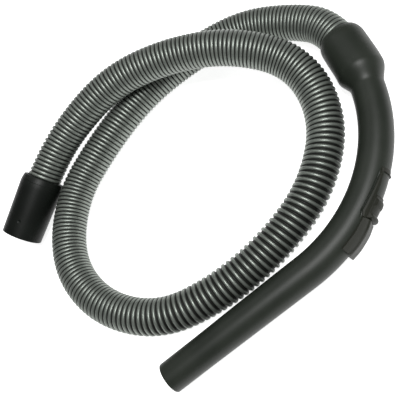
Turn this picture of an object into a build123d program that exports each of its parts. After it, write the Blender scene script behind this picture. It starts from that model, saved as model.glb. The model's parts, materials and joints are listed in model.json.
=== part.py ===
from build123d import *
import math
import os

# Household vacuum hose: a corrugated hose with a swivelling bent-end handle and a swivelling machine cuff.
#
# Millimetres, +Z up, the floor at z = 0.  The handle lies on its side, the hose makes one flat loop, climbs
# over itself once and ends in the cuff.  Each end is drawn in a flat frame of its own: +X runs inwards from
# the mouth, where the hose goes in, along the swivel's axis.  The handle bends towards -Y of its frame.

# ---------------------------------------------------------------- hose
HOSE_R = 19.0                 # over the ribs
HOSE_WALL = 3.0
HOSE_GRIP = 26.0              # length of hose that is screwed into each swivel sleeve

# ---------------------------------------------------------------- swivel, the same at both ends
SLEEVE_WALL = 1.3
FLANGE_REACH = 1.35           # from the sleeve to the bore that the swivel turns in
SLEEVE_SET_BACK = 3.0         # from the mouth to the sleeve's front edge
SLEEVE_STOP = 3.0             # thickness of the stop that the hose end meets
FLANGE_THICK = 3.0
WASHER_THICK = 1.0
SEAL_LEN = 3.5
SEAL_BAND = 0.5               # thickness of the seal's band on the sleeve
SEAL_LIP = 0.9                # thickness of its lip
RING_FACE = 7.0               # part of the mouth ring that shows
RING_SPIGOT = 8.0             # part of it that is pressed into the socket
RUN_GAP = 0.2                 # radial running gap of the swivel
END_GAP = 0.3                 # axial running gap of the swivel
TAIL_GAP = 1.5                # from the sleeve's tail to the end of the socket's bore
PRESS_GAP = 0.05              # left between pieces that are pressed or screwed together
HOSE_FIT = 0.1                # sleeve bore over the hose
LIP_FIT = 0.9                 # mouth ring's lip over the hose

# ---------------------------------------------------------------- handle
BULB_WALL = 2.0
BULB_FRONT_DROP = 0.45        # less radius where the mouth ring ends
MOUTH_DROP = 3.0              # and at the mouth
BULB_LEN = 46.0               # mouth to the end of the bulb's full diameter
SHOULDER_LEN = 20.0           # bulb down to the grip
STRAIGHT_LEN = 31.0           # mouth to the start of the bend
GRIP_R = 16.5
TUBE_WALL = 2.6
BEND_R = 171.5
BEND_ANGLE = 79.2
WAND_LEN = 164.0
SPIGOT_LEN = 40.0             # straight end that the extension tube slides over
SPIGOT_R = 15.6
SPIGOT_WALL = 2.4
RIM_ROUND = 1.2               # rounding of the wand's end

# ---------------------------------------------------------------- suction regulator, on the bend's outside
# Lengths are along the grip's centre line from the start of the bend, radii from that line, and degrees
# go round the tube from the outside of the bend.
TRACK_START = 121.0
TRACK_BRIDGE = 4.0            # strip that joins the two rails at their upper end
BRIDGE_THICK = 0.8
RAIL_RISE = 2.2
RAIL_DEG = 54.0               # outer edges of the rails
RAIL_WIDTH_DEG = 2.8
LIP_WIDTH_DEG = 6.0           # lip that keeps the slider down, measured from the rail's outer edge
LIP_THICK = 0.8
SLIDE_TRAVEL = 16.0
TRAVEL_SPARE = 5.0            # left between the bridge and the fully opened slider
SLIDER_LEN = 21.6
SLIDER_GAP = 0.3
SLIDER_RISE = 2.1
SLIDER_SIDE_DEG = 1.0         # slider to lip, and its foot to the rail
FOOT_THICK = 0.8
RIDGE_DEG = 38.0              # half width of the finger ridges
RIDGE_LEN = 4.5
UPPER_RIDGE = 0.6
LOWER_RIDGE = 2.9
PAD_THICK = 0.6
PAD_DEG = 24.0
PAD_MARGIN = 2.5              # slider's end to pad's end
SPRING_THICK = 0.3
SPRING_DEG = 9.0
SPRING_MARGIN = 4.0
PAD_GAP = 0.1
VENT_LEN = 12.0
VENT_DEG = 12.0
STOP_GAP = 0.4                # slider to hump, at rest
HUMP_LEN = 33.5
HUMP_LOW = 1.4                # rise over the tube beside the slider
HUMP_RISE = 4.0               # in its middle
HUMP_END = 3.4                # at its step
HUMP_SIDE = 0.4               # the hump's side beyond the foot of the rails
HUMP_ROUND = 3.5
PEG_R = 2.0
PEG_SPACING = 13.0

# ---------------------------------------------------------------- cuff
CUFF_WALL = 2.25
CUFF_FRONT_DROP = 0.6         # less radius where its mouth ring ends
CUFF_MOUTH_DROP = 1.6         # and at the mouth
CUFF_FLARE = 12.0
CUFF_WEB = 8.0                # from the swivel's socket to the gasket
PORT_R = 19.5                 # bore that takes the machine's inlet pipe
PORT_DEPTH = 31.0
PORT_WALL = 3.1
GASKET_THICK = 2.0
GASKET_REACH = 1.2            # depth of the groove that holds the gasket

# ---------------------------------------------------------------- places
HANDLE_MOUTH = (78.2, 165.9)  # centre of the handle's mouth, seen from above
HANDLE_HEADING = -67.4        # direction of its axis, degrees from +X
CUFF_MOUTH = Vector(-266.0, 60.5, 36.2)
CUFF_AXIS = Vector(-0.465, -0.869, -0.176).normalized()
HANDLE_LEAD = 16.0            # from the mouth to the route's first point
CUFF_LEAD = 20.0              # from the route's last point to the mouth
ARC_SHARE = 0.45              # share of the shorter run that an arc may use
FLOOR = HOSE_R
HOSE_ROUTE = [
    (30, 204, 22),
    (-30, 216, FLOOR),
    (-99, 190, FLOOR),
    (-155, 153, FLOOR),
    (-202, 97, FLOOR),
    (-237, 38, FLOOR),
    (-237, -36, FLOOR),
    (-193, -89, FLOOR),
    (-123, -109, FLOOR),
    (-58, -85, FLOOR),
    (-1, -44, FLOOR),
    (43, 9, FLOOR),
    (61, 80, FLOOR),
    (37, 143, 35),
    (-27, 167, 55),
    (-99, 171, 59),
    (-168, 156, 58),
    (-223, 119, 47),
]

# ---------------------------------------------------------------- sizes that follow from the ones above
HOSE_BORE_R = HOSE_R - HOSE_WALL
SLEEVE_BORE_R = HOSE_R + HOSE_FIT
SLEEVE_R = SLEEVE_BORE_R + SLEEVE_WALL
SOCKET_BORE_R = SLEEVE_R + FLANGE_REACH
BULB_R = SOCKET_BORE_R + BULB_WALL
BULB_FRONT_R = BULB_R - BULB_FRONT_DROP
MOUTH_R = BULB_R - MOUTH_DROP
CUFF_R = SOCKET_BORE_R + CUFF_WALL
CUFF_FRONT_R = CUFF_R - CUFF_FRONT_DROP
CUFF_MOUTH_R = CUFF_R - CUFF_MOUTH_DROP
CUFF_END_R = PORT_R + PORT_WALL
SLEEVE_END = HOSE_GRIP + SLEEVE_STOP
SOCKET_DEPTH = SLEEVE_END + TAIL_GAP
RING_END = RING_FACE + RING_SPIGOT
FLANGE_AT = RING_END + END_GAP + WASHER_THICK
FLANGE_R = SOCKET_BORE_R - RUN_GAP
BEND_LEN = math.radians(BEND_ANGLE) * BEND_R
GRIP_START = BULB_LEN + SHOULDER_LEN
WAND_START = STRAIGHT_LEN + BEND_LEN
HANDLE_LEN = WAND_START + WAND_LEN
SPIGOT_START = HANDLE_LEN - SPIGOT_LEN
RAIL_INNER_DEG = RAIL_DEG - RAIL_WIDTH_DEG
LIP_DEG = RAIL_DEG - LIP_WIDTH_DEG
SLIDER_DEG = LIP_DEG - SLIDER_SIDE_DEG
FOOT_DEG = RAIL_INNER_DEG - SLIDER_SIDE_DEG
SLIDER_START = TRACK_START + TRACK_BRIDGE + TRAVEL_SPARE + SLIDE_TRAVEL
SLIDER_END = SLIDER_START + SLIDER_LEN
VENT_START = (SLIDER_START + SLIDER_END - VENT_LEN) / 2
HUMP_START = SLIDER_END + STOP_GAP
SLIDER_R = GRIP_R + SLIDER_RISE
PAD_R = GRIP_R + PAD_GAP
GASKET_AT = SOCKET_DEPTH + CUFF_WEB
PORT_AT = GASKET_AT + GASKET_THICK
CUFF_LEN = PORT_AT + PORT_DEPTH
GASKET_SEAT_R = PORT_R + GASKET_REACH


# ================================================================ helpers
def turned(*outline):
    """Solid of revolution about the X axis from an outline of (x, radius) points."""
    return revolve(make_face(Polyline(*outline, close=True)), axis=Axis.X)


def ring(start, end, outer, inner):
    """Plain sleeve about the X axis."""
    return turned((start, inner), (end, inner), (end, outer), (start, outer))


def along(distance):
    """Plane square to the handle's centre line at a distance from its mouth; its X points out of the bend."""
    turn = min(max(distance - STRAIGHT_LEN, 0), BEND_LEN) / BEND_R
    heading = Vector(math.cos(turn), -math.sin(turn), 0)
    outwards = Vector(math.sin(turn), math.cos(turn), 0)
    point = Vector(STRAIGHT_LEN, -BEND_R, 0) + outwards * BEND_R
    point += heading * (min(distance - STRAIGHT_LEN, 0) + max(distance - WAND_START, 0))
    return Plane(origin=point, x_dir=outwards, z_dir=heading)


def bent(face, start, length):
    """Cross-section carried round the bend, from one distance along the bend over a length."""
    axis = Axis((STRAIGHT_LEN, -BEND_R, 0), (0, 0, -1))
    return revolve(along(STRAIGHT_LEN + start) * face, axis=axis, revolution_arc=math.degrees(length / BEND_R))


def sector(inner, outer, start_deg, end_deg):
    """Part of a ring in the grip's cross-section."""
    far = CenterArc((0, 0), outer, start_deg, end_deg - start_deg)
    near = CenterArc((0, 0), inner, start_deg, end_deg - start_deg)
    return make_face([far, Line(far @ 1, near @ 1), near, Line(near @ 0, far @ 0)])


def saddle(inner, outer, half_deg, start, length):
    """Strip that wraps the outside of the bend."""
    return bent(sector(inner, outer, -half_deg, half_deg), start, length)


def lofted(*stations):
    """Round body through (distance from the mouth, radius) stations of the handle's centre line."""
    return loft([along(distance) * Circle(radius) for distance, radius in stations])


# ================================================================ swivel
def swivel_sleeve():
    """Sleeve on the hose's end, with the flange that holds it in and a stop for the hose."""
    body = ring(SLEEVE_SET_BACK, SLEEVE_END, SLEEVE_R, SLEEVE_BORE_R)
    flange = ring(FLANGE_AT, FLANGE_AT + FLANGE_THICK, FLANGE_R, SLEEVE_BORE_R)
    stop = ring(HOSE_GRIP, SLEEVE_END, SLEEVE_R, HOSE_BORE_R)
    return body + flange + stop


def swivel_washer():
    """Slip washer between the flange and the mouth ring."""
    return ring(FLANGE_AT - WASHER_THICK, FLANGE_AT, FLANGE_R, SLEEVE_R + PRESS_GAP)


def swivel_seal():
    """Air seal at the sleeve's tail: a band with one lip that reaches the bore."""
    start = SLEEVE_END - SEAL_LEN
    inner = SLEEVE_R + PRESS_GAP
    band = inner + SEAL_BAND
    return turned((start, inner), (SLEEVE_END, inner), (SLEEVE_END, band), (start + SEAL_LIP, band),
                  (start + SEAL_LIP, FLANGE_R), (start, FLANGE_R))


def mouth_ring(face_r, socket_r):
    """Ring pressed into the socket's mouth, with the lip that the hose passes through."""
    lip_r = HOSE_R + LIP_FIT
    lip_end = SLEEVE_SET_BACK - END_GAP
    bore_r = SLEEVE_R + RUN_GAP
    spigot_r = SOCKET_BORE_R - PRESS_GAP
    swell = (face_r + socket_r) / 2 + 0.35
    return turned((0.6, lip_r), (lip_end, lip_r), (lip_end, bore_r), (RING_END, bore_r), (RING_END, spigot_r),
                  (RING_FACE, spigot_r), (RING_FACE, socket_r), (RING_FACE / 2, swell), (0.8, face_r),
                  (0, face_r - 0.5), (0, lip_r + 0.3))


# ================================================================ handle
def handle_outside():
    fall = BULB_R - GRIP_R
    bulb = turned((RING_FACE, 0), (RING_FACE, BULB_FRONT_R), (RING_FACE + 4, BULB_R), (STRAIGHT_LEN, BULB_R),
                  (STRAIGHT_LEN, 0))
    full = bent(Circle(BULB_R), 0, BULB_LEN - STRAIGHT_LEN)
    shares = ((0, 0), (0.25, 0.12), (0.5, 0.5), (0.75, 0.88), (1, 1))
    shoulder = lofted(*[(BULB_LEN + SHOULDER_LEN * at, BULB_R - fall * drop) for at, drop in shares])
    grip = bent(Circle(GRIP_R), GRIP_START - STRAIGHT_LEN, WAND_START - GRIP_START)
    wand = lofted((WAND_START, GRIP_R), (SPIGOT_START, SPIGOT_R))
    rim_start = HANDLE_LEN - RIM_ROUND
    spigot = lofted((SPIGOT_START, SPIGOT_R), (rim_start, SPIGOT_R))
    rim = lofted((rim_start, SPIGOT_R), (HANDLE_LEN, SPIGOT_R - RIM_ROUND / 2))
    return bulb + full + shoulder + grip + wand + spigot + rim


def handle_bore():
    """Everything hollow in the handle: swivel socket, funnel, air way and wand bore."""
    bore_r = GRIP_R - TUBE_WALL
    fall = SOCKET_BORE_R - bore_r
    length = GRIP_START - SOCKET_DEPTH
    socket = ring(RING_FACE - 1, SOCKET_DEPTH, SOCKET_BORE_R, 0)
    shares = ((0, 0), (0.25, 0.15), (0.5, 0.5), (0.75, 0.9), (1, 1))
    funnel = lofted(*[(SOCKET_DEPTH + length * at, SOCKET_BORE_R - fall * drop) for at, drop in shares])
    grip = bent(Circle(bore_r), GRIP_START - STRAIGHT_LEN, WAND_START - GRIP_START)
    spigot_bore_r = SPIGOT_R - SPIGOT_WALL
    wand = lofted((WAND_START, bore_r), (SPIGOT_START, spigot_bore_r))
    spigot = lofted((SPIGOT_START, spigot_bore_r), (HANDLE_LEN + 1, spigot_bore_r))
    return socket + funnel + grip + wand + spigot


STAND = (Align.CENTER, Align.CENTER, Align.MIN)


def pegs(radius):
    """Two pegs under the hump, through the tube's wall."""
    middle = STRAIGHT_LEN + HUMP_START + HUMP_LEN / 2
    solid = Part()
    for offset in (-PEG_SPACING / 2, PEG_SPACING / 2):
        at = along(middle + offset)
        foot = at.origin + at.x_dir * (GRIP_R - TUBE_WALL - 1)
        solid += Plane(origin=foot, z_dir=at.x_dir) * Cylinder(radius, TUBE_WALL + 2, align=STAND)
    return solid


def handle_tube():
    vent = saddle(GRIP_R - TUBE_WALL - 1, GRIP_R + 1, VENT_DEG, VENT_START, VENT_LEN)
    return handle_outside() - handle_bore() - vent - pegs(PEG_R + PRESS_GAP)


# ================================================================ suction regulator
def hump():
    """Raised pad below the slider, with a step at its lower end."""
    def rim(distance, rise):
        at = along(STRAIGHT_LEN + distance)
        return at.origin + at.x_dir * (GRIP_R + rise)

    half_width = (GRIP_R + HUMP_SIDE) * math.sin(math.radians(RAIL_DEG))
    edge = math.sqrt(GRIP_R ** 2 - half_width ** 2) - GRIP_R
    start, end = HUMP_START, HUMP_START + HUMP_LEN
    crest = Spline(rim(start, HUMP_LOW), rim(start + HUMP_LEN * 0.3, HUMP_RISE * 0.85),
                   rim(start + HUMP_LEN * 0.65, HUMP_RISE), rim(end, HUMP_END))
    base = ThreePointArc(rim(start, edge), rim((start + end) / 2, edge), rim(end, edge))
    outline = make_face([crest, Line(crest @ 1, base @ 1), base, Line(base @ 0, crest @ 0)])
    block = extrude(outline, half_width, both=True)
    block = fillet(block.edges().filter_by(GeomType.BSPLINE), HUMP_ROUND)
    seat = bent(Circle(GRIP_R + PRESS_GAP), start - 5, HUMP_LEN + 10)
    return block - seat + (pegs(PEG_R) - bent(Circle(GRIP_R - TUBE_WALL), start, HUMP_LEN))


def regulator_track():
    """Frame round the slider: two lipped rails, a bridge at the top and the hump at the bottom."""
    seat = GRIP_R + PRESS_GAP
    top = GRIP_R + RAIL_RISE
    length = HUMP_START + 1 - TRACK_START
    track = hump() + saddle(seat, GRIP_R + BRIDGE_THICK, RAIL_DEG, TRACK_START, TRACK_BRIDGE)
    for side in (-1, 1):
        upright = sector(seat, top, side * RAIL_INNER_DEG, side * RAIL_DEG)
        lip = sector(top - LIP_THICK, top, side * LIP_DEG, side * RAIL_DEG)
        track += bent(upright, TRACK_START, length)
        track += bent(lip, TRACK_START, length)
    return track


def regulator_slider():
    """Saddle with two feet under the lips and a finger ridge at each end."""
    under = GRIP_R + SLIDER_GAP
    body = saddle(under, SLIDER_R, SLIDER_DEG, SLIDER_START, SLIDER_LEN)
    body += saddle(under, under + FOOT_THICK, FOOT_DEG, SLIDER_START, SLIDER_LEN)
    ridge_in = SLIDER_R - 0.5
    body += saddle(ridge_in, SLIDER_R + UPPER_RIDGE, RIDGE_DEG, SLIDER_START + 0.5, RIDGE_LEN)
    body += saddle(ridge_in, SLIDER_R + LOWER_RIDGE, RIDGE_DEG, SLIDER_END - RIDGE_LEN, RIDGE_LEN)
    pad_top = PAD_R + PAD_THICK + PRESS_GAP
    pad_pocket = saddle(under - 1, pad_top, PAD_DEG + 1, SLIDER_START + PAD_MARGIN - PRESS_GAP,
                        SLIDER_LEN - 2 * (PAD_MARGIN - PRESS_GAP))
    spring_pocket = saddle(pad_top - 1, pad_top + SPRING_THICK + PRESS_GAP, SPRING_DEG + 1,
                           SLIDER_START + SPRING_MARGIN - PRESS_GAP,
                           SLIDER_LEN - 2 * (SPRING_MARGIN - PRESS_GAP))
    return body - pad_pocket - spring_pocket


def regulator_pad():
    return saddle(PAD_R, PAD_R + PAD_THICK, PAD_DEG, SLIDER_START + PAD_MARGIN, SLIDER_LEN - 2 * PAD_MARGIN)


def regulator_spring():
    inner = PAD_R + PAD_THICK
    return saddle(inner, inner + SPRING_THICK, SPRING_DEG, SLIDER_START + SPRING_MARGIN,
                  SLIDER_LEN - 2 * SPRING_MARGIN)


# ================================================================ cuff
def cuff_shell():
    return turned((RING_FACE, SOCKET_BORE_R), (SOCKET_DEPTH, SOCKET_BORE_R), (SOCKET_DEPTH + 1, HOSE_BORE_R),
                  (GASKET_AT, HOSE_BORE_R), (GASKET_AT, GASKET_SEAT_R), (PORT_AT, GASKET_SEAT_R),
                  (PORT_AT, PORT_R), (CUFF_LEN, PORT_R), (CUFF_LEN, CUFF_END_R - 0.8),
                  (CUFF_LEN - 0.8, CUFF_END_R), (CUFF_FLARE, CUFF_R), (RING_FACE, CUFF_FRONT_R))


def cuff_gasket():
    """Face seal in a groove at the bottom of the port, that the machine's pipe meets."""
    return ring(GASKET_AT + PRESS_GAP, PORT_AT - PRESS_GAP, GASKET_SEAT_R - PRESS_GAP, HOSE_BORE_R + 0.5)


# ================================================================ places
def handle_frame():
    """The handle's frame, tilted so that bulb, end of the bend and end of the wand all rest on the floor."""
    def rest(distance, radius):
        flat = along(distance).origin.rotate(Axis.Z, HANDLE_HEADING)
        return Vector(HANDLE_MOUTH[0] + flat.X, HANDLE_MOUTH[1] + flat.Y, radius)

    bulb = rest(BULB_LEN, BULB_R)
    grip = rest(WAND_START, GRIP_R)
    wand = rest(HANDLE_LEN, SPIGOT_R)
    normal = (grip - bulb).cross(wand - bulb).normalized()
    if normal.Z < 0:
        normal = -normal
    slope_x, slope_y = -normal.X / normal.Z, -normal.Y / normal.Z
    height = bulb.Z + slope_x * (HANDLE_MOUTH[0] - bulb.X) + slope_y * (HANDLE_MOUTH[1] - bulb.Y)
    heading = Vector(1, 0, 0).rotate(Axis.Z, HANDLE_HEADING)
    heading = Vector(heading.X, heading.Y, slope_x * heading.X + slope_y * heading.Y)
    return Plane(origin=(*HANDLE_MOUTH, height), x_dir=heading, z_dir=normal)


def hose_path(handle, cuff):
    """Straight runs and tangent arcs, from the stop in the handle's sleeve to the one in the cuff's."""
    points = [handle.from_local_coords(Vector(HOSE_GRIP, 0, 0)),
              handle.from_local_coords(Vector(-HANDLE_LEAD, 0, 0))]
    points += [Vector(*point) for point in HOSE_ROUTE]
    points += [cuff.from_local_coords(Vector(-CUFF_LEAD, 0, 0)),
               cuff.from_local_coords(Vector(HOSE_GRIP, 0, 0))]
    runs = [after - before for before, after in zip(points, points[1:])]
    radii = []
    for before, after in zip(runs, runs[1:]):
        half_turn = math.radians(before.get_angle(after)) / 2
        radii.append(ARC_SHARE * min(before.length, after.length) / math.tan(half_turn))
    print("hose points", [tuple(round(value, 1) for value in point) for point in points])
    print("hose runs", [round(run.length) for run in runs])
    print("hose radii", [round(radius) for radius in radii])
    return FilletPolyline(*points, radius=radii)


def hose(path):
    section = Circle(HOSE_R) - Circle(HOSE_BORE_R)
    solid = sweep(Plane(origin=path @ 0, z_dir=path % 0) * section, path=path)
    expected = math.pi * (HOSE_R ** 2 - HOSE_BORE_R ** 2) * path.length
    print(f"hose length {path.length:.0f}, volume {solid.volume:.0f}, section by length {expected:.0f}")
    return solid


def main():
    handle = handle_frame()
    cuff = Plane(origin=CUFF_MOUTH, x_dir=CUFF_AXIS, z_dir=CUFF_AXIS.cross(Vector(0, 0, 1)).cross(CUFF_AXIS))
    handle_nodes = {
        "handle_tube": handle_tube(),
        "socket_ring": mouth_ring(MOUTH_R, BULB_FRONT_R),
        "regulator_track": regulator_track(),
        "regulator_slider": regulator_slider(),
        "regulator_pad": regulator_pad(),
        "regulator_spring": regulator_spring(),
        "handle_sleeve": swivel_sleeve(),
        "handle_washer": swivel_washer(),
        "handle_seal": swivel_seal(),
    }
    cuff_nodes = {
        "cuff_shell": cuff_shell(),
        "cuff_ring": mouth_ring(CUFF_MOUTH_R, CUFF_FRONT_R),
        "cuff_sleeve": swivel_sleeve(),
        "cuff_washer": swivel_washer(),
        "cuff_seal": swivel_seal(),
        "cuff_gasket": cuff_gasket(),
    }
    nodes = {name: handle.location * solid for name, solid in handle_nodes.items()}
    nodes |= {name: cuff.location * solid for name, solid in cuff_nodes.items()}
    nodes["hose"] = hose(hose_path(handle, cuff))
    os.makedirs("parts", exist_ok=True)
    for name, solid in nodes.items():
        export_step(solid, f"parts/{name}.step")
    report_places(handle, cuff)


def report_places(handle, cuff):
    """Print the places that joints and mounts need, in metres."""
    def metres(vector):
        return [round(value / 1000, 6) for value in vector]

    def direction(vector):
        return [round(value, 6) for value in vector]

    bend_centre = handle.from_local_coords(Vector(STRAIGHT_LEN, -BEND_R, 0))
    wand_end = along(HANDLE_LEN)
    wand_tip = handle.from_local_coords(wand_end.origin)
    wand_axis = handle.from_local_coords(wand_end.origin + wand_end.z_dir) - wand_tip
    port_end = cuff.from_local_coords(Vector(CUFF_LEN, 0, 0))
    print("handle mouth", metres(handle.origin), "axis", direction(handle.x_dir), "normal", direction(handle.z_dir))
    print("bend centre", metres(bend_centre))
    print("wand end", metres(wand_tip), "axis", direction(wand_axis))
    print("cuff mouth", metres(cuff.origin), "axis", direction(cuff.x_dir), "open end", metres(port_end))


main()
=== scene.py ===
# %% [markdown]
# # A vacuum hose with its handle and its machine cuff
#
# The object is a corrugated hose of 38 mm that lies in one loop. One end turns in the bulb of a bent
# handle with a suction regulator on its back, the other in a black cuff that plugs into the machine.
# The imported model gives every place: the joints say where the two mouths are and which way they point,
# so nothing here is fitted by eye.

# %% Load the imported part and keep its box
import json
import bpy
import numpy as np
from mathutils import Matrix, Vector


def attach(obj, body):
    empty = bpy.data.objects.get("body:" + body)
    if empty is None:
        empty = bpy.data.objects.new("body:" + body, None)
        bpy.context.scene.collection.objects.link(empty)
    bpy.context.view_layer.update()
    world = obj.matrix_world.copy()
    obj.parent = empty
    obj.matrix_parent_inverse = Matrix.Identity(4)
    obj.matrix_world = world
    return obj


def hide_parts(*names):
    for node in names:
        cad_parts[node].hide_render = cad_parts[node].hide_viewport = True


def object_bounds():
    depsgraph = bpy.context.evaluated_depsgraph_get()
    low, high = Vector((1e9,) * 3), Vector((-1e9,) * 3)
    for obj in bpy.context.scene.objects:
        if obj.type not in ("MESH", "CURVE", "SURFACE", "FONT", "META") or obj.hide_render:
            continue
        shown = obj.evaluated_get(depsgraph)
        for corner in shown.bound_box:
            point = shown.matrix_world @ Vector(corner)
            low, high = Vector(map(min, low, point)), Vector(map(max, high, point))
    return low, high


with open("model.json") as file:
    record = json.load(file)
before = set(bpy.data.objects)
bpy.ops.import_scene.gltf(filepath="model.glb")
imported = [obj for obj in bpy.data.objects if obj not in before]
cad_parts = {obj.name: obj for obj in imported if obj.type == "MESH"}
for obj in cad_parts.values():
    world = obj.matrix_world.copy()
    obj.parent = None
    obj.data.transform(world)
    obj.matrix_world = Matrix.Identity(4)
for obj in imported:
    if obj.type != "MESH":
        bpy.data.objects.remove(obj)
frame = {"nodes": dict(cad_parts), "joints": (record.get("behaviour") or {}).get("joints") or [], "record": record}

packed_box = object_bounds()
MM = 0.001
joints = {joint["name"]: joint for joint in frame["joints"]}
mounts = {mount["name"]: mount for mount in frame["record"]["mounts"]}
print("packed box", [tuple(round(value, 4) for value in corner) for corner in packed_box])


# %% [markdown]
# ## The two ends as frames
#
# Each end is drawn in a frame of its own: X runs into the mouth along the swivel's axis. The handle's
# third axis is the regulator's hinge axis, because the slider runs round the centre of the grip's bend.
# The bend's radius, its start and its angle follow from that centre and from the wand's direction.

# %% Read both frames from the joints
def unit(vector):
    """The vector divided by its own length."""
    vector = np.asarray(vector, float)
    return vector / np.linalg.norm(vector, axis=-1, keepdims=True)


def end_frame(joint, upright):
    """Origin, and rows X, Y, Z: X along the joint's axis, Z as near to upright as square allows, and
    Y = Z x X."""
    x = unit(joint["axis"])
    y = unit(np.cross(upright, x))
    return np.array(joint["pos_m"], float), np.array([x, y, np.cross(x, y)])


handle_at, handle_axes = end_frame(joints["handle_swivel"], joints["regulator_slide"]["axis"])
cuff_at, cuff_axes = end_frame(joints["cuff_swivel"], (0, 0, 1))
bend_centre = handle_axes @ (np.array(joints["regulator_slide"]["pos_m"]) - handle_at)
STRAIGHT = bend_centre[0]
BEND_R = -bend_centre[1]
BEND_ANGLE = np.arccos(unit(mounts["wand_end"]["axis"]) @ handle_axes[0])
WAND_START = STRAIGHT + BEND_R * BEND_ANGLE
WAND_LEN = 164 * MM
HANDLE_LEN = WAND_START + WAND_LEN
print("bend of", round(BEND_R, 4), "m through", round(float(np.degrees(BEND_ANGLE)), 1), "degrees")
print("handle", round(HANDLE_LEN, 3), "m")


# %% [markdown]
# ## Camera
#
# The camera looks down at the loop from the right and a little in front. The picture's upward edge follows
# the floor's +Y direction, so the camera's right is the cross product of its aim and +Y, not of its aim
# and the vertical as a tracking constraint would give.

# %% Place the camera
CAMERA_AT = np.array([0.1253, -0.1898, 0.5170])
CAMERA_AIM = np.array([-0.078, 0.0135, 0.019])
LENS = 49.95
SENSOR_WIDTH = 36

forward = unit(CAMERA_AIM - CAMERA_AT)
right = unit(np.cross(forward, (0, 1, 0)))
upward = np.cross(right, forward)
camera = bpy.data.objects.new("camera", bpy.data.cameras.new("camera"))
camera.data.lens = LENS
camera.data.sensor_width = SENSOR_WIDTH
turned_by = Matrix(np.array([right, upward, -forward]).T.tolist()).to_4x4()
camera.matrix_world = Matrix.Translation(CAMERA_AT.tolist()) @ turned_by
bpy.context.scene.collection.objects.link(camera)
bpy.context.scene.camera = camera
print("camera", round(float(np.linalg.norm(CAMERA_AIM - CAMERA_AT)), 3), "m from its aim")


# %% [markdown]
# ## From sheets of points to closed bodies
#
# Every moulded piece is a wall with an outside and an inside. Both are worked out on the same grid of
# rows and columns, so one helper can close any of them: it makes the faces of both sheets and puts a wall
# of faces wherever the grid ends or a cell is left out. A Solidify modifier could give a wall too, but
# it couldn't follow a bore with steps.

# %% Make meshes from grids
# Points nearer to each other than this, in metres, become one.
SAME_POINT = 1e-7


def new_piece(name, points, faces):
    """Mesh object at the origin from an array of points and rows of vertex numbers, with equal points
    joined and the faces turned outwards: the volume, a sum of tetrahedra from the origin, must be
    positive. Returns the object, and which of the points each of its vertices is."""
    points = points.reshape(-1, 3)
    rounded = np.round(points / SAME_POINT).astype(np.int64)
    _, first, number = np.unique(rounded, axis=0, return_index=True, return_inverse=True)
    faces, points = number.reshape(-1)[faces], points[first]
    corner = points[faces]
    volume = np.einsum("ij,ij->", corner[:, 0], np.cross(corner[:, 1], corner[:, 2]))
    volume += np.einsum("ij,ij->", corner[:, 0], np.cross(corner[:, 2], corner[:, 3]))
    if volume < 0:
        faces = faces[:, ::-1]
    rows = [list(dict.fromkeys(face)) for face in faces.tolist()]
    mesh = bpy.data.meshes.new(name)
    mesh.from_pydata(points.tolist(), [], [row for row in rows if len(row) > 2])
    mesh.polygons.foreach_set("use_smooth", np.ones(len(mesh.polygons), bool))
    mesh.update()
    piece = bpy.data.objects.new(name, mesh)
    bpy.context.scene.collection.objects.link(piece)
    print(f"{name}: {len(mesh.polygons)} faces, {abs(volume) / 6 * 1e6:.2f} cubic cm")
    return piece, first


def grid_faces(outer, wraps):
    """Corner numbers of every cell of a grid, as rows x columns x 4. A wrapped grid's last column meets
    its first."""
    after = np.roll(outer, -1, axis=1) if wraps else outer[:, 1:]
    before = outer if wraps else outer[:, :-1]
    return np.stack([before[:-1], before[1:], after[1:], after[:-1]], axis=-1)


def shell(name, outside, inside, wraps=True, keep=None):
    """Closed body between two sheets of rows x columns points. keep says which cells are there. An edge
    between a kept cell and a missing one gets a wall face from the outer sheet to the inner one."""
    rows, columns = outside.shape[:2]
    outer = np.arange(rows * columns).reshape(rows, columns)
    inner = outer + rows * columns
    outer_cells, inner_cells = grid_faces(outer, wraps), grid_faces(inner, wraps)
    if keep is None:
        keep = np.ones(outer_cells.shape[:2], bool)
    faces = [outer_cells[keep], inner_cells[keep][:, ::-1]]
    padded = np.pad(keep, 1)
    if wraps:
        padded[:, 0], padded[:, -1] = padded[:, -2], padded[:, 1]
    beside = {
        (0, 1): padded[1:-1, :-2],
        (1, 2): padded[2:, 1:-1],
        (2, 3): padded[1:-1, 2:],
        (3, 0): padded[:-2, 1:-1],
    }
    for (start, end), neighbour in beside.items():
        bare = keep & ~neighbour
        near, far = outer_cells[bare], inner_cells[bare]
        faces.append(np.stack([near[:, end], near[:, start], far[:, start], far[:, end]], axis=-1))
    return new_piece(name, np.concatenate([outside, inside]), np.concatenate(faces))[0]


def round_edges(piece, width, angle=35.0, segments=2):
    """Small bevel on the edges that turn by more than an angle in degrees, with the shading of the big
    faces kept flat."""
    bevel = piece.modifiers.new("rounded edges", "BEVEL")
    bevel.width = width
    bevel.segments = segments
    bevel.limit_method = "ANGLE"
    bevel.angle_limit = np.radians(angle)
    bevel.harden_normals = True
    return piece


# %% [markdown]
# ## Where a point of each end lies
#
# A moulded round piece is a profile carried along a line. The handle's line is straight, then an arc, then
# straight again, and the cuff's is straight. A point is given by its distance from the mouth, its radius
# and its angle round the line, counted from the outside of the bend.

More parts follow.
